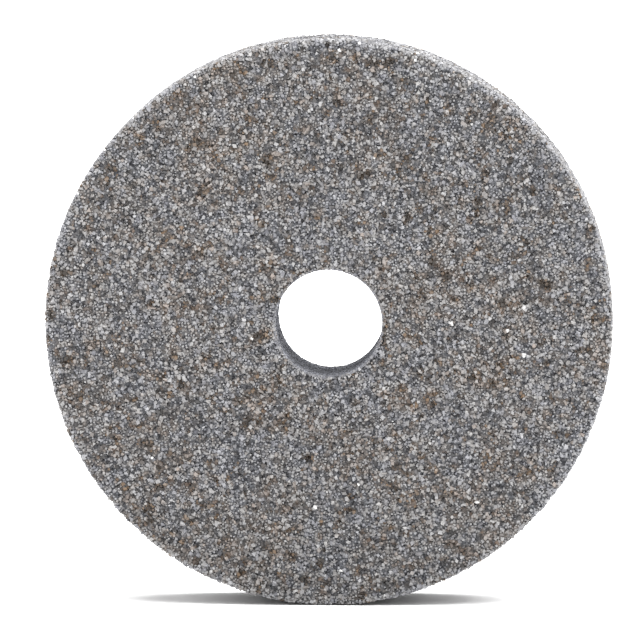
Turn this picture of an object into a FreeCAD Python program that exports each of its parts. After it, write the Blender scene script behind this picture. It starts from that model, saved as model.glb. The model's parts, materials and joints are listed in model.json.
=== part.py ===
"""Small straight grinding wheel: a moulded ring of bonded abrasive grit, and the thin lining cast in its bore.

Millimetres, +Z up. The wheel stands on its rim: its axis lies along Y, the front face looks towards -Y,
and the origin is the wheel's own centre, on the axis and half way through its width.
"""
import FreeCAD, Part
import os

# Overall sizes
WHEEL_DIAMETER = 50.8     # outside, over the tips of the grit
WHEEL_WIDTH = 9.525       # face to face, where the machine's flanges clamp
BORE_DIAMETER = 9.525     # the finished hole, inside the lining

# Lining of the bore
LINING_WALL = 0.25        # how thick the cast lining is
LINING_SETBACK = 0.20     # how far each end of the lining stays below the wheel's face
LINING_LEAD_IN = 0.06     # 45 degree lead-in at both ends, so the wheel starts easily on a spindle

# Arrises of the moulded ring
RIM_ARRIS = 0.40          # rounding where the rim meets each face
BORE_ARRIS = 0.12         # rounding where the ring's hole meets each face

# What follows from them
FRONT = FreeCAD.Vector(0, -WHEEL_WIDTH / 2, 0)
AXIS = FreeCAD.Vector(0, 1, 0)
SEAT_RADIUS = BORE_DIAMETER / 2 + LINING_WALL     # the ring's own hole, which the lining is cast into


def circles_of(shape, radius):
    """The round edges of a shape that have this radius."""
    round_edges = [edge for edge in shape.Edges if isinstance(edge.Curve, Part.Circle)]
    return [edge for edge in round_edges if abs(edge.Curve.Radius - radius) < 1e-6]


def tube(outer_radius, inner_radius, start, length):
    """A plain ring along the wheel's axis."""
    outside = Part.makeCylinder(outer_radius, length, start, AXIS)
    hole = Part.makeCylinder(inner_radius, length, start, AXIS)
    return outside.cut(hole)


def abrasive_ring():
    """The moulded body: grit and bond in one ring, rounded a little on all four arrises."""
    ring = tube(WHEEL_DIAMETER / 2, SEAT_RADIUS, FRONT, WHEEL_WIDTH)
    ring = ring.makeFillet(RIM_ARRIS, circles_of(ring, WHEEL_DIAMETER / 2))
    return ring.makeFillet(BORE_ARRIS, circles_of(ring, SEAT_RADIUS))


def bore_lining():
    """The smooth sleeve cast against the ring's hole, which sizes the bore to the spindle."""
    start = FRONT + AXIS * LINING_SETBACK
    length = WHEEL_WIDTH - 2 * LINING_SETBACK
    sleeve = tube(SEAT_RADIUS, BORE_DIAMETER / 2, start, length)
    return sleeve.makeChamfer(LINING_LEAD_IN, circles_of(sleeve, BORE_DIAMETER / 2))


PIECES = {
    "abrasive_ring": abrasive_ring,
    "bore_lining": bore_lining,
}

os.makedirs("parts", exist_ok=True)
for node, make in PIECES.items():
    shape = make()
    shape.exportStep("parts/" + node + ".step")
    print(node, "solids", len(shape.Solids), "valid", shape.isValid(), "volume mm3", round(shape.Volume, 1))
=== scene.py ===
"""Looks of a small bonded grinding wheel: its ring of bond, its crystals of grit, and its lined bore.

Metres, +Z up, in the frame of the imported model: the wheel's axis is Y and its centre is the origin.
"""
import json
import math

import bpy
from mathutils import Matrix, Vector


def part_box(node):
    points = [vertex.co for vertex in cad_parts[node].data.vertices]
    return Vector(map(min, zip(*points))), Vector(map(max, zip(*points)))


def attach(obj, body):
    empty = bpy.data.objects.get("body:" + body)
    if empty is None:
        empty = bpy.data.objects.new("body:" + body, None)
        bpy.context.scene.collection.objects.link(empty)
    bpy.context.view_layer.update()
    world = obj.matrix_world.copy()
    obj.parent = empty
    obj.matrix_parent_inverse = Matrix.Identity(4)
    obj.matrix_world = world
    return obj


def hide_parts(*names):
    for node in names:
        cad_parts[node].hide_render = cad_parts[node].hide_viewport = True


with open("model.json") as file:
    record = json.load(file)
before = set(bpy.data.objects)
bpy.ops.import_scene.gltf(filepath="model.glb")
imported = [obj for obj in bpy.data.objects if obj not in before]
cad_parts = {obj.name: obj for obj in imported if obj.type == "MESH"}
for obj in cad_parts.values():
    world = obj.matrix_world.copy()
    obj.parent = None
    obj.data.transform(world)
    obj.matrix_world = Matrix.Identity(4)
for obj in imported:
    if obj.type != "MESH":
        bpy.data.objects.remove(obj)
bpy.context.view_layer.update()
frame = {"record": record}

bl_info = {
    "name": "Bonded Grinding Wheel",
    "version": (1, 0, 0),
    "blender": (4, 5, 0),
    "location": "3D View > Sidebar > Wheel",
    "description": "Builds the bond, the grit and the bore lining of a small bonded grinding wheel",
    "category": "Add Mesh",
}

MM = 0.001
RING_LOW, RING_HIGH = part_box("abrasive_ring")
LINING_LOW, LINING_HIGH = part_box("bore_lining")
RADIUS = (RING_HIGH[0] - RING_LOW[0]) / 2
WIDTH = RING_HIGH[1] - RING_LOW[1]
SEAT_RADIUS = (LINING_HIGH[0] - LINING_LOW[0]) / 2
LINING_LENGTH = LINING_HIGH[1] - LINING_LOW[1]
BORE = next(mount for mount in frame["record"]["mounts"] if mount["name"] == "bore")
BORE_RADIUS = BORE["dims"]["r_mm"] * MM
ROOT = "root"

# How finely the rings are cut: across the face, along the width, and round the axis
RING_CUTS = (60, 26, 512)
SLEEVE_CUTS = (1, 90, 300)
SLEEVE_ARRIS = 0.05 * MM
BED_RELIEF = 0.04 * MM                  # how uneven the bed is that the grains stand on
LUMP_SIZE = 0.3 * MM                    # width of the lumps in an uneven surface
WEAR_SIZE = 2.2 * MM                    # length of a worn stretch of arris
WEAR_NOISE = (0.56, 0.72)               # noise at which an arris starts to be worn, and is worn fully
WEAR_REACH = (1.2 * MM, 0.3 * MM)       # how far from a ring's corner its wear starts, and where it is full

# How deep the middles of the grains lie, as shares of a grain's width. The rim is dressed flatter.
FACE_DEPTH = 0.52
RIM_DEPTH = 0.36
FINES_DEPTH = 0.5
FINES_UNEVEN = 0.25                     # how far the deepest fine grains lie below the highest
FINES_SEED = 40
GROWTH = (0.72, 1.75, 2.5)              # least and greatest size of a crystal, and how rare great ones are
CROWDING = 4.0                          # grains tried for each one that finds room

# Where coarse grit gives way to the lining: this near the bore's wall, and from this far to this far in
WALL_CLEARANCE = 0.16 * MM
WALL_START = (0.25 * MM, 0.75 * MM)
WALL_WAVE = 0.9 * MM                    # how long the waves of that border are

# Tone of the grit, from 0 for the darkest to 1 for the palest. Paler bands of painted light start and are
# full this far from the corner and the rim, and the one round the bore is full and over this far from it.
# They stand for the light that the rounded corners, the rim and the mouth of the bore catch, not for paler
# grit.
DRIFT_SIZE = 1.8 * MM
TONE_DRIFT = 0.26                       # how far it drifts from place to place, either way
PAINTED_ARRIS_LIGHT, ARRIS_LIGHT_REACH = 0.32, (1.0 * MM, 0.2 * MM)
PAINTED_RIM_LIGHT, RIM_LIGHT_REACH = 0.28, (0.6 * MM, 0.3 * MM)
PAINTED_MOUTH_LIGHT, MOUTH_LIGHT_REACH = 0.14, (0.2 * MM, 0.9 * MM)

# Tint of the grit, from 0 for cool to 1 for warm
WARMTH_PARTS = ((6.0 * MM, 3.0, 0.7, 0.45), (0.7 * MM, 2.0, 0.6, 0.55))   # size, detail, roughness, weight
WARMTH_NOISE, WARMTH_TINT = (0.38, 0.64), (-0.04, 1.06)
WARM_BOND = (0.44, 0.60)                # warmth at which the bond starts to be warm, and is fully so
TINT_LUCK = 0.15                        # how far a grain's tint may be from that of its place, either way
WARM_FROM = 0.58                        # grains are of a warm kind from this tint on
STAIN_SIZE = 1.4 * MM
HALO_NOISE, HALO_TINT = (0.50, 0.62), (-0.05, 0.35)     # the grit round a stain is warmer
RUST_NOISE, RUST_SHARE = (0.59, 0.65), 0.8              # the rust in a stain, and the most grains it takes
CORE_NOISE, CORE_SHARE = (0.635, 0.67), 0.9             # the same for the dark ironstone inside a stain
WHITE_SHARE = 0.0006                    # share of the grains that are clear white

GRIT_GLOSS = 0.5
BOND_GLOSS = 0.2
LINING_GLOSS = 0.04
FINES_VARY = 0.60            # how far the shade of one fine crystal may be from the next

FLOOR_ALBEDO = 0.92
FLOOR_RADIUS = 4.0
LIGHT_ANGLE = math.radians(70)                # how wide the soft light overhead is
LIGHT_AIM = Vector((-0.13, -0.02, -1.0))
CAMERA_TARGET = Vector((-1.09 * MM, 0, 0.05 * MM))
SENSOR_WIDTH = 36


# ---------------------------------------------------------------- sizes and colours

class BondSettings(bpy.types.PropertyGroup):
    """The fired bond that shows between the grains"""
    depth: bpy.props.FloatProperty(
        name="Depth", description="How far the bond lies below the tips of the grit",
        default=0.21 * MM, min=0.0, subtype="DISTANCE", unit="LENGTH", precision=5)
    relief: bpy.props.FloatProperty(
        name="Relief", description="How uneven the bond is between the grains",
        default=0.10 * MM, min=0.0, subtype="DISTANCE", unit="LENGTH", precision=5)
    arris: bpy.props.FloatProperty(
        name="Arris", description="Rounding of the ring's corners",
        default=0.30 * MM, min=0.0, subtype="DISTANCE", unit="LENGTH", precision=5)
    chip: bpy.props.FloatProperty(
        name="Chips", description="How deep the arrises have crumbled where they are worn",
        default=0.14 * MM, min=0.0, subtype="DISTANCE", unit="LENGTH", precision=5)
    # The bond's colours are dark partly of themselves and partly as painted shade in the pores between the
    # grains
    colour: bpy.props.FloatVectorProperty(
        name="Colour", description="Colour of the fired bond", subtype="COLOR", size=3,
        default=(0.0710, 0.0735, 0.0800), min=0.0, max=1.0)
    warm_colour: bpy.props.FloatVectorProperty(
        name="Warm colour", description="Colour of the bond where the grit is warm", subtype="COLOR", size=3,
        default=(0.0830, 0.0732, 0.0660), min=0.0, max=1.0)


class GritSettings(bpy.types.PropertyGroup):
    """The crystals of grit"""
    size: bpy.props.FloatProperty(
        name="Grain size", description="Mean width of a grain",
        default=0.265 * MM, min=0.05 * MM, subtype="DISTANCE", unit="LENGTH", precision=5)
    spacing: bpy.props.FloatProperty(
        name="Spacing", description="Least distance between the middles of two grains",
        default=0.20 * MM, min=0.05 * MM, subtype="DISTANCE", unit="LENGTH", precision=5)
    uneven: bpy.props.FloatProperty(
        name="Uneven", description="How far the deepest grains lie below the highest",
        default=0.10 * MM, min=0.0, subtype="DISTANCE", unit="LENGTH", precision=5)
    proud: bpy.props.FloatProperty(
        name="Proud", description="How far the tips of the grains may stand out of the trued surface",
        default=0.02 * MM, min=0.0, subtype="DISTANCE", unit="LENGTH", precision=5)
    lost: bpy.props.FloatProperty(
        name="Lost grains", description="Share of the grains that have broken out and left a pore",
        default=0.05, min=0.0, max=0.5, subtype="FACTOR")
    seed: bpy.props.IntProperty(
        name="Seed", description="Another seed scatters the grit in another way", default=7)


class LiningSettings(bpy.types.PropertyGroup):
    """The lining cast in the bore, and the fine grit in it"""
    relief: bpy.props.FloatProperty(
        name="Relief", description="How uneven the cast surface is",
        default=0.05 * MM, min=0.0, subtype="DISTANCE", unit="LENGTH", precision=5)
    grain: bpy.props.FloatProperty(
        name="Fine grain", description="Mean width of the fine grit in the lining",
        default=0.13 * MM, min=0.02 * MM, subtype="DISTANCE", unit="LENGTH", precision=5)
    spacing: bpy.props.FloatProperty(
        name="Spacing", description="Least distance between the middles of two fine grains",
        default=0.115 * MM, min=0.05 * MM, subtype="DISTANCE", unit="LENGTH", precision=5)
    colour: bpy.props.FloatVectorProperty(
        name="Colour", description="Colour of the cast lining", subtype="COLOR", size=3,
        default=(0.150, 0.150, 0.160), min=0.0, max=1.0)
    fines: bpy.props.FloatProperty(
        name="Fines", description="Brightness of the fine grit in the lining",
        default=0.198, min=0.0, max=1.0)


class StageSettings(bpy.types.PropertyGroup):
    """Floor, light and camera"""
    distance: bpy.props.FloatProperty(
        name="Camera distance", description="From the wheel's centre to the camera",
        default=0.65, min=0.1, subtype="DISTANCE", unit="LENGTH")
    azimuth: bpy.props.FloatProperty(
        name="Azimuth", description="How far the camera stands to the right of the wheel's axis",
        default=math.radians(1.8), subtype="ANGLE", unit="ROTATION")
    elevation: bpy.props.FloatProperty(
        name="Elevation", description="How far the camera stands above the wheel's axis",
        default=math.radians(5.42), subtype="ANGLE", unit="ROTATION")
    view_width: bpy.props.FloatProperty(
        name="View width", description="Width of what the camera sees at the wheel",
        default=57.2 * MM, min=0.01, subtype="DISTANCE", unit="LENGTH")
    ambient: bpy.props.FloatProperty(
        name="Ambient", description="Brightness of the white studio all round", default=1.12, min=0.0)
    overhead: bpy.props.FloatProperty(
        name="Overhead", description="Strength of the soft light overhead", default=7.6, min=0.0)


COOL_TINTS = ((0.968, 0.972, 1.056), (1.036, 0.990, 0.962))      # from the bluest to the most neutral
WARM_TINTS = ((1.042, 0.988, 0.962), (1.140, 0.960, 0.850))      # from bone to tan
RUST_TINTS = ((1.190, 0.965, 0.790), (1.370, 0.930, 0.600))      # from brown to orange
LINING_TINTS = ((0.955, 0.975, 1.080), (0.985, 0.990, 1.040))    # all of them a little blue
PLAIN_TINTS = ((1.000, 1.000, 1.000), (1.020, 1.000, 0.980))
# Each kind of grain: its tints, how strong they are, its brightness, how far the shade of one crystal may be
# from the next, and how large it grows. Dark grains have the stronger tints.
GRIT_KINDS = {
    "grit_charcoal": (COOL_TINTS, 1.9, 0.032, 0.30, 1.0),
    "grit_slate": (COOL_TINTS, 1.3, 0.132, 0.20, 1.0),
    "grit_ash": (COOL_TINTS, 1.0, 0.176, 0.18, 1.0),
    "grit_silver": (COOL_TINTS, 0.75, 0.200, 0.18, 1.0),
    "grit_pearl": (COOL_TINTS, 0.5, 0.236, 0.20, 1.0),
    "grit_umber": (WARM_TINTS, 2.0, 0.062, 0.30, 1.0),
    "grit_dun": (WARM_TINTS, 0.9, 0.163, 0.22, 1.0),
    "grit_cream": (WARM_TINTS, 0.35, 0.206, 0.22, 1.0),
    "grit_rust": (RUST_TINTS, 1.0, 0.068, 0.50, 1.0),
    "grit_ironstone": (RUST_TINTS, 1.0, 0.014, 0.35, 1.1),
    "grit_white": (PLAIN_TINTS, 1.0, 0.520, 0.15, 1.2),
}
# Where each family of kinds starts in that table
COOL, WARM, RUST, IRONSTONE, WHITE = (
    list(GRIT_KINDS).index(first)
    for first in ("grit_charcoal", "grit_umber", "grit_rust", "grit_ironstone", "grit_white"))
COOL_STEPS = (0.16, 0.38, 0.62, 0.85)      # tones at which cool grit goes from charcoal up to pearl
WARM_STEPS = (0.26, 0.70)                  # tones at which warm grit goes from umber to dun and cream


# ---------------------------------------------------------------- bench tools

def deselect():
    """Leaves edit mode and selects nothing."""
    if bpy.context.object and bpy.context.object.mode != "OBJECT":
        bpy.ops.object.mode_set(mode="OBJECT")
    bpy.ops.object.select_all(action="DESELECT")


def take(piece):
    """Makes a piece the only selected one, and the active one."""
    deselect()
    piece.select_set(True)
    bpy.context.view_layer.objects.active = piece


def editing(piece):
    """Opens a piece in edit mode with all of it selected."""
    take(piece)
    bpy.ops.object.mode_set(mode="EDIT")
    bpy.ops.mesh.select_all(action="SELECT")


def node(tree, kind, inputs=None, **options):
    """Adds a node, sets its options, and fills its inputs with values or with other nodes' outputs."""
    made = tree.nodes.new(kind)
    for name, value in options.items():
        setattr(made, name, value)
    for name, value in (inputs or {}).items():
        socket = made.inputs[name] if isinstance(name, int) else live_input(made, name)
        if isinstance(value, bpy.types.NodeSocket):
            tree.links.new(value, socket)
        else:
            socket.default_value = value
    return made


def live_input(made, name):
    """A node's input by name. Some nodes hold one for each type of data, and only one of them is in use."""
    return next(socket for socket in made.inputs if socket.name == name and socket.enabled)


def live_output(made):
    """The one output of a node that is in use."""
    return next(socket for socket in made.outputs if socket.enabled)


def calc(tree, operation, first, second=0.0):
    """The output of a Math node."""
    return node(tree, "ShaderNodeMath", {0: first, 1: second}, operation=operation).outputs[0]


def scaled(tree, vector, number):
    """A vector times a number, or a colour made darker or lighter by it."""
    return node(tree, "ShaderNodeVectorMath", {0: vector, "Scale": number}, operation="SCALE").outputs[0]


def remap(tree, value, low, high, to_low, to_high):
    """Takes a range of values to another range, and no further."""
    inputs = {"Value": value, "From Min": low, "From Max": high, "To Min": to_low, "To Max": to_high}
    return node(tree, "ShaderNodeMapRange", inputs).outputs["Result"]


def noise(tree, where, size, detail=2.0, roughness=0.5):
    """Smooth noise whose lumps are about this size. Mostly between 0.3 and 0.7."""
    inputs = {"Vector": where, "Scale": 1 / size, "Detail": detail, "Roughness": roughness}
    return node(tree, "ShaderNodeTexNoise", inputs).outputs[0]


def clouds(tree, where, size, low, high, detail=2.0, roughness=0.5):
    """Noise whose usual range becomes this one."""
    return remap(tree, noise(tree, where, size, detail, roughness), 0.3, 0.7, low, high)


def geometry_tree(name):
    """An empty geometry node tree, the output that gives its shape, and the input that takes its result."""
    tree = bpy.data.node_groups.new(name, "GeometryNodeTree")
    for way in ("INPUT", "OUTPUT"):
        tree.interface.new_socket("Geometry", in_out=way, socket_type="NodeSocketGeometry")
    return tree, tree.nodes.new("NodeGroupInput").outputs[0], tree.nodes.new("NodeGroupOutput").inputs[0]


def apply_nodes(piece, tree):
    """Runs a geometry node tree on a piece and applies it."""
    take(piece)
    bpy.ops.object.modifier_add(type="NODES")
    piece.modifiers[-1].node_group = tree
    bpy.ops.object.modifier_apply(modifier=piece.modifiers[-1].name)
    bpy.data.node_groups.remove(tree)


def throw_away(*helpers):
    """Removes what was only needed to make something else."""
    for helper in helpers:
        take(helper)
        bpy.ops.object.delete()


def finish(piece, name, material):
    """Names a piece, gives it its material, and lets it ride with the wheel."""
    piece.name = name
    piece.data.name = name
    piece.data.materials.clear()
    piece.data.materials.append(material)
    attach(piece, ROOT)


# ---------------------------------------------------------------- materials

def principled(name):
    """A new material, with its tree and its shader."""
    material = bpy.data.materials.new(name)
    material.use_nodes = True
    return material, material.node_tree, material.node_tree.nodes["Principled BSDF"]


def blended(tree, share, first, last):
    """A colour between two others."""
    ends = {"Factor": share, "A": (*first, 1.0), "B": (*last, 1.0)}
    return live_output(node(tree, "ShaderNodeMix", ends, data_type="RGBA"))


def warmth(tree, where):
    """How warm the wheel's tint is at a point: broad drifts with small ones in them."""
    broad, local = (
        calc(tree, "MULTIPLY", noise(tree, where, size, detail, roughness), weight)
        for size, detail, roughness, weight in WARMTH_PARTS)
    return calc(tree, "ADD", broad, local)


def grain_material(name, tints, strength, bright, vary, gloss=GRIT_GLOSS):
    """One kind of grain: each crystal has its own shade and tint, clouded inside, with a glassy surface."""
    material, tree, shader = principled(name)
    where = tree.nodes.new("ShaderNodeTexCoord").outputs["Object"]
    own = node(tree, "ShaderNodeAttribute", attribute_name="shade").outputs["Fac"]
    tint = node(tree, "ShaderNodeAttribute", attribute_name="tint").outputs["Fac"]
    shade = remap(tree, own, 0.0, 1.0, bright * (1 - vary), bright * (1 + vary))
    cloud = clouds(tree, where, 0.12 * MM, 0.8, 1.2)
    first, last = ([1 + (part - 1) * strength for part in end] for end in tints)
    colour = scaled(tree, blended(tree, tint, first, last), calc(tree, "MULTIPLY", shade, cloud))
    tree.links.new(colour, shader.inputs["Base Color"])
    tree.links.new(clouds(tree, where, 0.3 * MM, 0.22, 0.55), shader.inputs["Roughness"])
    shader.inputs["Specular IOR Level"].default_value = gloss
    return material


def bond_material(settings):
    """Dull fired bond, warmer where the grit is warm. Its dark colour and dark mottling are partly its own
    and partly painted shade of the pores between the grains.
    """
    material, tree, shader = principled("fired_bond_and_pore_shade")
    where = tree.nodes.new("ShaderNodeTexCoord").outputs["Object"]
    # painted shade: the darkest of this mottling stands for shade in the pores, on top of the bond's own
    # uneven colour
    shade = remap(tree, noise(tree, where, 0.35 * MM, 3.0, 0.7), 0.36, 0.64, 0.06, 1.84)
    warm = remap(tree, warmth(tree, where), *WARM_BOND, 0.0, 1.0)
    colour = scaled(tree, blended(tree, warm, settings.colour, settings.warm_colour), shade)
    tree.links.new(colour, shader.inputs["Base Color"])
    tree.links.new(clouds(tree, where, 0.2 * MM, 0.7, 0.98), shader.inputs["Roughness"])
    shader.inputs["Specular IOR Level"].default_value = BOND_GLOSS
    return material


def lining_material(settings):
    """The dull, even cast wall of the bore."""
    material, tree, shader = principled("cast_lining")
    where = tree.nodes.new("ShaderNodeTexCoord").outputs["Object"]
    shade = clouds(tree, where, 0.22 * MM, 0.7, 1.3, 3.0, 0.6)
    tree.links.new(scaled(tree, tuple(settings.colour), shade), shader.inputs["Base Color"])
    tree.links.new(clouds(tree, where, 0.2 * MM, 0.55, 0.85), shader.inputs["Roughness"])
    shader.inputs["Specular IOR Level"].default_value = LINING_GLOSS
    return material


# ---------------------------------------------------------------- shapes

def plain_ring(inner, outer, width, arris, cuts):
    """A closed ring about Y: a rounded rectangle, its sides cut into even lengths, turned once round."""
    cuts_across, cuts_along, steps = cuts
    deselect()
    bpy.ops.mesh.primitive_plane_add(size=1.0, location=(0, 0, 0))
    ring = bpy.context.object
    editing(ring)
    bpy.ops.transform.resize(value=(outer - inner, width, 1))
    bpy.ops.transform.translate(value=((outer + inner) / 2, 0, 0))
    bpy.ops.mesh.bevel(offset=arris, segments=3, affect="VERTICES")
    bpy.ops.mesh.delete(type="ONLY_FACE")
    for cuts, along in ((cuts_across, 0), (cuts_along, 1)):
        bpy.ops.object.mode_set(mode="OBJECT")
        corners = ring.data.vertices
        for edge in ring.data.edges:
            run = corners[edge.vertices[1]].co - corners[edge.vertices[0]].co
            edge.select = abs(run[1 - along]) < 1e-9
        for vertex in corners:
            vertex.select = False
        bpy.ops.object.mode_set(mode="EDIT")
        bpy.ops.mesh.select_mode(type="EDGE")
        bpy.ops.mesh.subdivide(number_cuts=cuts)
        bpy.ops.mesh.select_mode(type="VERT")
    bpy.ops.object.mode_set(mode="OBJECT")
    bpy.ops.object.modifier_add(type="SCREW")
    turn = ring.modifiers[-1]
    turn.axis = "Y"
    turn.steps = turn.render_steps = steps
    turn.use_merge_vertices = True
    turn.merge_threshold = 1e-6
    bpy.ops.object.modifier_apply(modifier=turn.name)
    editing(ring)
    bpy.ops.mesh.normals_make_consistent(inside=False)
    bpy.ops.object.mode_set(mode="OBJECT")
    return ring


def away_from_middle(tree, where):
    """How far a point lies from the wheel's axis, and how far from the plane half way through its width."""
    parts = node(tree, "ShaderNodeSeparateXYZ", {0: where}).outputs
    flat = node(tree, "ShaderNodeCombineXYZ", {"X": parts["X"], "Z": parts["Z"]}).outputs[0]
    radius = node(tree, "ShaderNodeVectorMath", {0: flat}, operation="LENGTH").outputs["Value"]
    return radius, calc(tree, "ABSOLUTE", parts["Y"])


def crumbled(relief, chip, depth=0.0):
    """A tree that sinks a ring's surface, makes it uneven, and wears its outer arrises away in places.

    Where a ring is sunk, the wall of its hole stays, because the lining lies against it.
    """
    tree, shape, out = geometry_tree("crumbled")
    where = node(tree, "GeometryNodeInputPosition").outputs[0]
    normal = node(tree, "GeometryNodeInputNormal").outputs[0]
    radius, side = away_from_middle(tree, where)
    start, full = WEAR_REACH
    near_rim = remap(tree, radius, RADIUS - start, RADIUS - full, 0.0, 1.0)
    near_face = remap(tree, side, WIDTH / 2 - start, WIDTH / 2 - full, 0.0, 1.0)
    worn = remap(tree, noise(tree, where, WEAR_SIZE), *WEAR_NOISE, 0.0, chip)
    chips = calc(tree, "MULTIPLY", worn, calc(tree, "MULTIPLY", near_rim, near_face))
    lumps = clouds(tree, where, LUMP_SIZE, -relief / 2 - depth, relief / 2 - depth)
    push = calc(tree, "SUBTRACT", lumps, chips)
    if depth:
        outside = calc(tree, "GREATER_THAN", radius, SEAT_RADIUS + 1e-6)
        push = calc(tree, "MULTIPLY", push, outside)
    offset = scaled(tree, normal, push)
    moved = node(tree, "GeometryNodeSetPosition", {"Geometry": shape, "Offset": offset})
    tree.links.new(moved.outputs[0], out)
    return tree


# Each crystal shape: what it starts from, how it is squashed, and the planes that break facets off it,
# each as (direction, distance from the middle).
CRYSTALS = (
    (dict(vertices=4, radius1=0.62, radius2=0.40, depth=0.78), (1.0, 0.85, 0.90), ()),
    (dict(vertices=5, radius1=0.58, radius2=0.34, depth=0.80), (1.0, 0.80, 0.85), ()),
    (dict(vertices=3, radius1=0.66, radius2=0.46, depth=0.70), (1.0, 0.90, 1.05), ()),
    (dict(vertices=4, radius1=0.60, radius2=0.52, depth=0.66), (1.15, 0.78, 0.95),
     (((0.9, 0.5, 0.7), 0.30),)),
    (dict(vertices=4, radius1=0.56, radius2=0.24, depth=1.00), (0.85, 1.05, 1.0), ()),
)


def crystal(start, squash, breaks):
    """A small sharp crystal about one unit wide, with only a dozen facets."""
    deselect()
    bpy.ops.mesh.primitive_cone_add(end_fill_type="NGON", **start)
    made = bpy.context.object
    editing(made)
    bpy.ops.transform.resize(value=squash)
    for direction, distance in breaks:
        towards = Vector(direction).normalized()
        bpy.ops.mesh.select_all(action="SELECT")
        bpy.ops.mesh.bisect(plane_co=towards * distance, plane_no=towards, use_fill=True, clear_outer=True)
    bpy.ops.mesh.select_all(action="SELECT")
    bpy.ops.mesh.quads_convert_to_tris()
    bpy.ops.mesh.normals_make_consistent(inside=False)
    bpy.ops.object.mode_set(mode="OBJECT")
    return made


def luck(tree, seed, kind="FLOAT", **inputs):
    """A random number of its own for each grain, from 0 to 1 unless told otherwise."""
    return live_output(node(tree, "FunctionNodeRandomValue", {"Seed": seed, **inputs}, data_type=kind))


def steps_up(tree, value, steps):
    """How many of these steps a value has passed."""
    passed = 0.0
    for step in steps:
        passed = calc(tree, "ADD", passed, calc(tree, "GREATER_THAN", value, step))
    return passed


def choose(tree, flag, yes, no):
    """One number where a flag is 1, another where it is 0."""
    return live_output(node(tree, "ShaderNodeMix", {"Factor": flag, "A": no, "B": yes}, data_type="FLOAT"))


def scattered(tree, shape, spacing, seed, uneven):
    """Points scattered on a surface at least this far apart, each pushed in by up to this much."""
    density = CROWDING / spacing ** 2
    inputs = {"Mesh": shape, "Distance Min": spacing, "Density Max": density, "Seed": seed}
    made = node(tree, "GeometryNodeDistributePointsOnFaces", inputs, distribute_method="POISSON").outputs
    sink = remap(tree, luck(tree, seed), 0.0, 1.0, 0.0, -uneven)
    offset = scaled(tree, made["Normal"], sink)
    return node(tree, "GeometryNodeSetPosition", {"Geometry": made["Points"], "Offset": offset}).outputs[0]


def empty_seats(tree, where, settings):
    """1 where no coarse grain belongs: on the wall of the bore, and where a grain has broken out."""
    radius, side = away_from_middle(tree, where)
    shallow, deep = WALL_START
    start = clouds(tree, where, WALL_WAVE, WIDTH / 2 - shallow, WIDTH / 2 - deep)
    on_wall = calc(tree, "MULTIPLY", calc(tree, "LESS_THAN", radius, BORE_RADIUS + WALL_CLEARANCE),
                   calc(tree, "LESS_THAN", side, start))
    broken_out = calc(tree, "LESS_THAN", luck(tree, settings.seed + 5), settings.lost)
    return calc(tree, "MAXIMUM", on_wall, broken_out)


def rim_painted_light(tree, radius):
    """Painted light: how much paler the grit on the rim is made, for the light that falls on the rim from
    overhead.
    """
    start, full = RIM_LIGHT_REACH
    return remap(tree, radius, RADIUS - start, RADIUS - full, 0.0, PAINTED_RIM_LIGHT)


def tone_of(tree, where, seed):
    """How pale each grain is: by chance and in drifts, and made paler by painted light on the rim, the
    arrises and by the bore.
    """
    radius, side = away_from_middle(tree, where)
    start, full = ARRIS_LIGHT_REACH
    # painted light: the grit near the rounded outer corner is made paler for the light that the corner
    # catches
    near_rim = remap(tree, radius, RADIUS - start, RADIUS - full, 0.0, PAINTED_ARRIS_LIGHT)
    near_face = remap(tree, side, WIDTH / 2 - start, WIDTH / 2 - full, 0.0, 1.0)
    arris = calc(tree, "MULTIPLY", near_rim, near_face)
    full, over = MOUTH_LIGHT_REACH
    # painted light: the grit round the mouth of the bore is made paler for the light that falls on it there
    mouth_light = remap(tree, radius, BORE_RADIUS + full, BORE_RADIUS + over, PAINTED_MOUTH_LIGHT, 0.0)
    drift = clouds(tree, where, DRIFT_SIZE, -TONE_DRIFT, TONE_DRIFT, 3.0, 0.8)
    return calc(tree, "ADD", calc(tree, "ADD", luck(tree, seed + 1), drift),
                calc(tree, "ADD", calc(tree, "MAXIMUM", arris, rim_painted_light(tree, radius)), mouth_light))


def tint_of(tree, where, stain, seed):
    """How warm each grain is: with the wheel's warmth, round the stains, less on the rim where painted light
    pales it, and by chance.
    """
    radius = away_from_middle(tree, where)[0]
    # painted light on the rim also takes the warmth out of the grit there
    halo = calc(tree, "SUBTRACT", remap(tree, stain, *HALO_NOISE, *HALO_TINT), rim_painted_light(tree, radius))
    warm = remap(tree, warmth(tree, where), *WARMTH_NOISE, *WARMTH_TINT)
    chance = remap(tree, luck(tree, seed + 2), 0.0, 1.0, -TINT_LUCK, TINT_LUCK)
    return calc(tree, "ADD", calc(tree, "ADD", halo, warm), chance)


def kind_and_tint(tree, where, seed):
    """The number of each grain's kind, and its tint within that kind's own range."""
    tone = tone_of(tree, where, seed)
    stain = noise(tree, where, STAIN_SIZE, 3.0, 0.65)
    tint = tint_of(tree, where, stain, seed)
    warm = calc(tree, "GREATER_THAN", tint, WARM_FROM)
    kind = choose(tree, warm, calc(tree, "ADD", WARM, steps_up(tree, tone, WARM_STEPS)),
                  calc(tree, "ADD", COOL, steps_up(tree, tone, COOL_STEPS)))
    own_tint = choose(tree, warm, remap(tree, tint, WARM_FROM, 1.0, 0.0, 1.0),
                      remap(tree, tint, 0.0, WARM_FROM, 0.0, 1.0))
    rusty = calc(tree, "LESS_THAN", luck(tree, seed + 3), remap(tree, stain, *RUST_NOISE, 0.0, RUST_SHARE))
    core = calc(tree, "LESS_THAN", luck(tree, seed + 6), remap(tree, stain, *CORE_NOISE, 0.0, CORE_SHARE))
    clear = calc(tree, "LESS_THAN", luck(tree, seed + 4), WHITE_SHARE)
    for flag, number in ((rusty, RUST), (core, IRONSTONE), (clear, WHITE)):
        kind = choose(tree, flag, number, kind)
    return kind, own_tint


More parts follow.
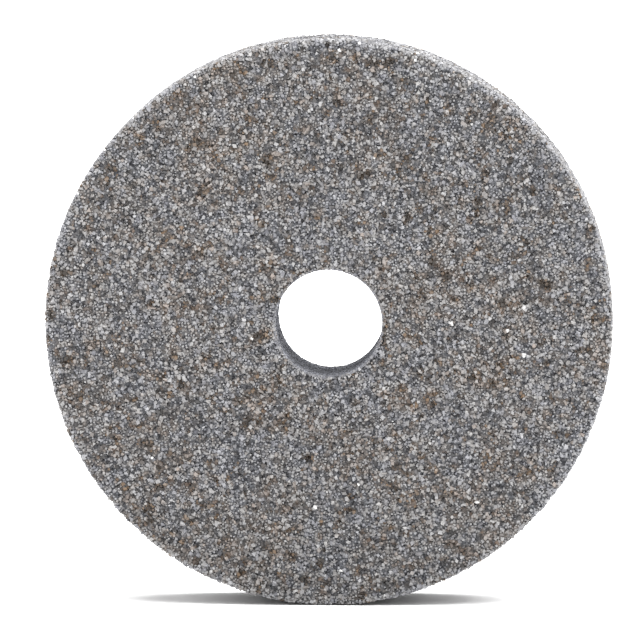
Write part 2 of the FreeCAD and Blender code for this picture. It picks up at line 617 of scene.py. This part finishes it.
def seats(settings):
    """A tree that turns a smooth ring into the places of its grains, each with its tint and kind."""
    tree, shape, out = geometry_tree("seats")
    points = scattered(tree, shape, settings.spacing, settings.seed, settings.uneven)
    where = node(tree, "GeometryNodeInputPosition").outputs[0]
    empty = empty_seats(tree, where, settings)
    inputs = {"Geometry": points, "Selection": empty}
    marked = node(tree, "GeometryNodeDeleteGeometry", inputs, domain="POINT").outputs[0]
    kind, tint = kind_and_tint(tree, where, settings.seed)
    for name, value in (("kind", kind), ("tint", tint)):
        inputs = {"Geometry": marked, "Name": name, "Value": value}
        stored = node(tree, "GeometryNodeStoreNamedAttribute", inputs, data_type="FLOAT", domain="POINT")
        marked = stored.outputs[0]
    vertices = node(tree, "GeometryNodePointsToVertices", {0: marked})
    tree.links.new(vertices.outputs[0], out)
    return tree


def crystals_laid(tree, places, chosen, crystals, size, seed):
    """Sets a crystal on each chosen place, turned and sized by chance, with a shade of its own."""
    box = node(tree, "GeometryNodeGeometryToInstance")
    for shape in reversed(crystals):
        made = node(tree, "GeometryNodeObjectInfo", {"Object": shape}, transform_space="ORIGINAL")
        tree.links.new(made.outputs["Geometry"], box.inputs[0])
    least, greatest, rarity = GROWTH
    chance = calc(tree, "POWER", luck(tree, seed), rarity)
    grow = remap(tree, chance, 0.0, 1.0, least * size, greatest * size)
    inputs = {"Points": places, "Selection": chosen, "Instance": box.outputs[0], "Pick Instance": True,
              "Instance Index": luck(tree, seed + 1, "INT", Min=0, Max=len(crystals) - 1),
              "Rotation": luck(tree, seed + 2, "FLOAT_VECTOR", Max=(math.tau,) * 3), "Scale": grow}
    laid = node(tree, "GeometryNodeInstanceOnPoints", inputs)
    marked = node(tree, "GeometryNodeStoreNamedAttribute",
                  {"Geometry": laid.outputs[0], "Name": "shade", "Value": luck(tree, seed + 3)},
                  data_type="FLOAT", domain="INSTANCE")
    return node(tree, "GeometryNodeRealizeInstances", {"Geometry": marked.outputs[0]}).outputs[0]


def dressed(tree, shape, proud):
    """Presses whatever stands further out than the wheel's trued surfaces back to them, bar this much."""
    where = node(tree, "GeometryNodeInputPosition").outputs[0]
    parts = node(tree, "ShaderNodeSeparateXYZ", {0: where}).outputs
    radius, side = away_from_middle(tree, where)
    trued = calc(tree, "MINIMUM", calc(tree, "MAXIMUM", radius, BORE_RADIUS), RADIUS + proud)
    scale = calc(tree, "DIVIDE", trued, radius)
    level = calc(tree, "MINIMUM", calc(tree, "MAXIMUM", parts["Y"], -WIDTH / 2 - proud), WIDTH / 2 + proud)
    inputs = {"X": calc(tree, "MULTIPLY", parts["X"], scale), "Y": level,
              "Z": calc(tree, "MULTIPLY", parts["Z"], scale)}
    place = node(tree, "ShaderNodeCombineXYZ", inputs).outputs[0]
    return node(tree, "GeometryNodeSetPosition", {"Geometry": shape, "Position": place}).outputs[0]


def crystals_of(number, growth, crystals, settings):
    """A tree that turns the seats of one kind into crystals."""
    tree, places, out = geometry_tree("crystals")
    kind = node(tree, "GeometryNodeInputNamedAttribute", {"Name": "kind"}, data_type="FLOAT").outputs[0]
    inputs = {0: kind, 1: float(number), "Epsilon": 0.1}
    chosen = node(tree, "FunctionNodeCompare", inputs, operation="EQUAL").outputs[0]
    made = crystals_laid(tree, places, chosen, crystals, settings.size * growth, settings.seed + 10)
    tree.links.new(dressed(tree, made, settings.proud), out)
    return tree


def fine_crystals(crystals, settings):
    """A tree that turns the wall of the bore into the fine crystals that lie in it."""
    tree, shape, out = geometry_tree("fine crystals")
    points = scattered(tree, shape, settings.spacing, FINES_SEED, settings.grain * FINES_UNEVEN)
    made = crystals_laid(tree, points, True, crystals, settings.grain, FINES_SEED + 1)
    tree.links.new(dressed(tree, made, 0.0), out)
    return tree


def bore_wall(radius, length, steps):
    """An open tube about Y that faces its axis."""
    deselect()
    bpy.ops.mesh.primitive_cylinder_add(
        vertices=steps, radius=radius, depth=length, end_fill_type="NOTHING")
    made = bpy.context.object
    editing(made)
    bpy.ops.transform.rotate(value=math.pi / 2, orient_axis="X", center_override=(0, 0, 0))
    bpy.ops.mesh.normals_make_consistent(inside=True)
    bpy.ops.object.mode_set(mode="OBJECT")
    return made


# ---------------------------------------------------------------- operators

class OBJECT_OT_wheel_stage(bpy.types.Operator):
    """Add the floor, the soft light and the camera"""
    bl_idname = "object.wheel_stage"
    bl_label = "Stage"

    def execute(self, context):
        settings = context.scene.wheel_stage
        deselect()
        underside = (0, 0, RING_LOW[2])
        bpy.ops.mesh.primitive_circle_add(
            vertices=96, radius=FLOOR_RADIUS, fill_type="NGON", location=underside)
        floor = context.object
        floor.name = "floor"
        material, _, shader = principled("pale_floor")
        shader.inputs["Base Color"].default_value = (*(FLOOR_ALBEDO,) * 3, 1)
        shader.inputs["Roughness"].default_value = 0.9
        shader.inputs["Specular IOR Level"].default_value = 0.1
        floor.data.materials.append(material)
        world = bpy.data.worlds.new("studio")
        context.scene.world = world
        world.use_nodes = True
        world.node_tree.nodes["Background"].inputs["Color"].default_value = (1, 1, 1, 1)
        world.node_tree.nodes["Background"].inputs["Strength"].default_value = settings.ambient
        bpy.ops.object.light_add(type="SUN", location=(0, 0, 0.5))
        top = context.object
        top.name = "overhead_softbox"
        top.data.energy = settings.overhead
        top.data.angle = LIGHT_ANGLE
        top.rotation_euler = LIGHT_AIM.to_track_quat("-Z", "Y").to_euler()
        context.scene.view_settings.view_transform = "Standard"
        bpy.ops.object.camera_add()
        camera = context.object
        across, up = math.sin(settings.azimuth), math.sin(settings.elevation)
        level = math.cos(settings.elevation)
        way = Vector((across * level, -math.cos(settings.azimuth) * level, up))
        camera.location = way * settings.distance
        camera.rotation_euler = (CAMERA_TARGET - camera.location).to_track_quat("-Z", "Y").to_euler()
        camera.data.sensor_width = SENSOR_WIDTH
        camera.data.lens = SENSOR_WIDTH * settings.distance / settings.view_width
        camera.data.clip_start = 0.01
        context.scene.camera = camera
        return {"FINISHED"}


class OBJECT_OT_wheel_bond(bpy.types.Operator):
    """Add the ring of fired bond that holds the grit"""
    bl_idname = "object.wheel_bond"
    bl_label = "Bond ring"

    def execute(self, context):
        settings = context.scene.wheel_bond
        ring = plain_ring(SEAT_RADIUS, RADIUS, WIDTH, settings.arris, RING_CUTS)
        apply_nodes(ring, crumbled(settings.relief, settings.chip, settings.depth))
        finish(ring, "bond_ring", bond_material(settings))
        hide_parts("abrasive_ring")
        return {"FINISHED"}


class OBJECT_OT_wheel_grit(bpy.types.Operator):
    """Add the grit: thousands of separate crystals, one piece for each kind of grain"""
    bl_idname = "object.wheel_grit"
    bl_label = "Grit"

    def execute(self, context):
        settings = context.scene.wheel_grit
        bond = context.scene.wheel_bond
        outer = RADIUS - settings.size * RIM_DEPTH
        width = WIDTH - 2 * settings.size * FACE_DEPTH
        bed = plain_ring(BORE_RADIUS, outer, width, bond.arris, RING_CUTS)
        apply_nodes(bed, crumbled(BED_RELIEF, bond.chip))
        apply_nodes(bed, seats(settings))
        crystals = [crystal(*shape) for shape in CRYSTALS]
        for number, (name, (tints, strength, bright, vary, growth)) in enumerate(GRIT_KINDS.items()):
            take(bed)
            bpy.ops.object.duplicate(linked=False)
            grit = context.object
            apply_nodes(grit, crystals_of(number, growth, crystals, settings))
            finish(grit, name, grain_material(name, tints, strength, bright, vary))
        throw_away(bed, *crystals)
        return {"FINISHED"}


class OBJECT_OT_wheel_lining(bpy.types.Operator):
    """Add the lining cast in the bore, and the fine grit that shows on its wall"""
    bl_idname = "object.wheel_lining"
    bl_label = "Bore lining"

    def execute(self, context):
        settings = context.scene.wheel_lining
        inner = BORE_RADIUS + settings.grain * FINES_DEPTH
        sleeve = plain_ring(inner, SEAT_RADIUS, LINING_LENGTH, SLEEVE_ARRIS, SLEEVE_CUTS)
        apply_nodes(sleeve, crumbled(settings.relief, 0.0))
        finish(sleeve, "bore_sleeve", lining_material(settings))
        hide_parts("bore_lining")
        fine = bore_wall(inner, LINING_LENGTH, SLEEVE_CUTS[2])
        crystals = [crystal(*shape) for shape in CRYSTALS[:3]]
        apply_nodes(fine, fine_crystals(crystals, settings))
        material = grain_material("bore_fines", LINING_TINTS, 1.0, settings.fines, FINES_VARY, LINING_GLOSS)
        finish(fine, "bore_fines", material)
        throw_away(*crystals)
        return {"FINISHED"}


class VIEW3D_PT_wheel(bpy.types.Panel):
    """Lists the wheel's pieces"""
    bl_label = "Bonded Grinding Wheel"
    bl_idname = "VIEW3D_PT_wheel"
    bl_space_type = "VIEW_3D"
    bl_region_type = "UI"
    bl_category = "Wheel"

    def draw(self, context):
        for title, group, operator in STEPS:
            box = self.layout.box()
            box.label(text=title)
            settings = getattr(context.scene, group)
            for name in settings.__annotations__:
                box.prop(settings, name)
            box.operator(operator)


GROUPS = {
    "wheel_bond": BondSettings,
    "wheel_grit": GritSettings,
    "wheel_lining": LiningSettings,
    "wheel_stage": StageSettings,
}
STEPS = (
    ("Bond", "wheel_bond", "object.wheel_bond"),
    ("Grit", "wheel_grit", "object.wheel_grit"),
    ("Bore lining", "wheel_lining", "object.wheel_lining"),
    ("Stage", "wheel_stage", "object.wheel_stage"),
)
OPERATORS = (OBJECT_OT_wheel_bond, OBJECT_OT_wheel_grit, OBJECT_OT_wheel_lining, OBJECT_OT_wheel_stage)


def register():
    for group in GROUPS.values():
        bpy.utils.register_class(group)
    for operator in OPERATORS:
        bpy.utils.register_class(operator)
    bpy.utils.register_class(VIEW3D_PT_wheel)
    for name, group in GROUPS.items():
        setattr(bpy.types.Scene, name, bpy.props.PointerProperty(type=group))


def unregister():
    for name in GROUPS:
        delattr(bpy.types.Scene, name)
    bpy.utils.unregister_class(VIEW3D_PT_wheel)
    for item in (*OPERATORS, *GROUPS.values()):
        bpy.utils.unregister_class(item)


def main():
    register()
    bpy.ops.object.wheel_bond()
    bpy.ops.object.wheel_grit()
    bpy.ops.object.wheel_lining()
    bpy.ops.object.wheel_stage()
    deselect()


if __name__ == "__main__":
    main()
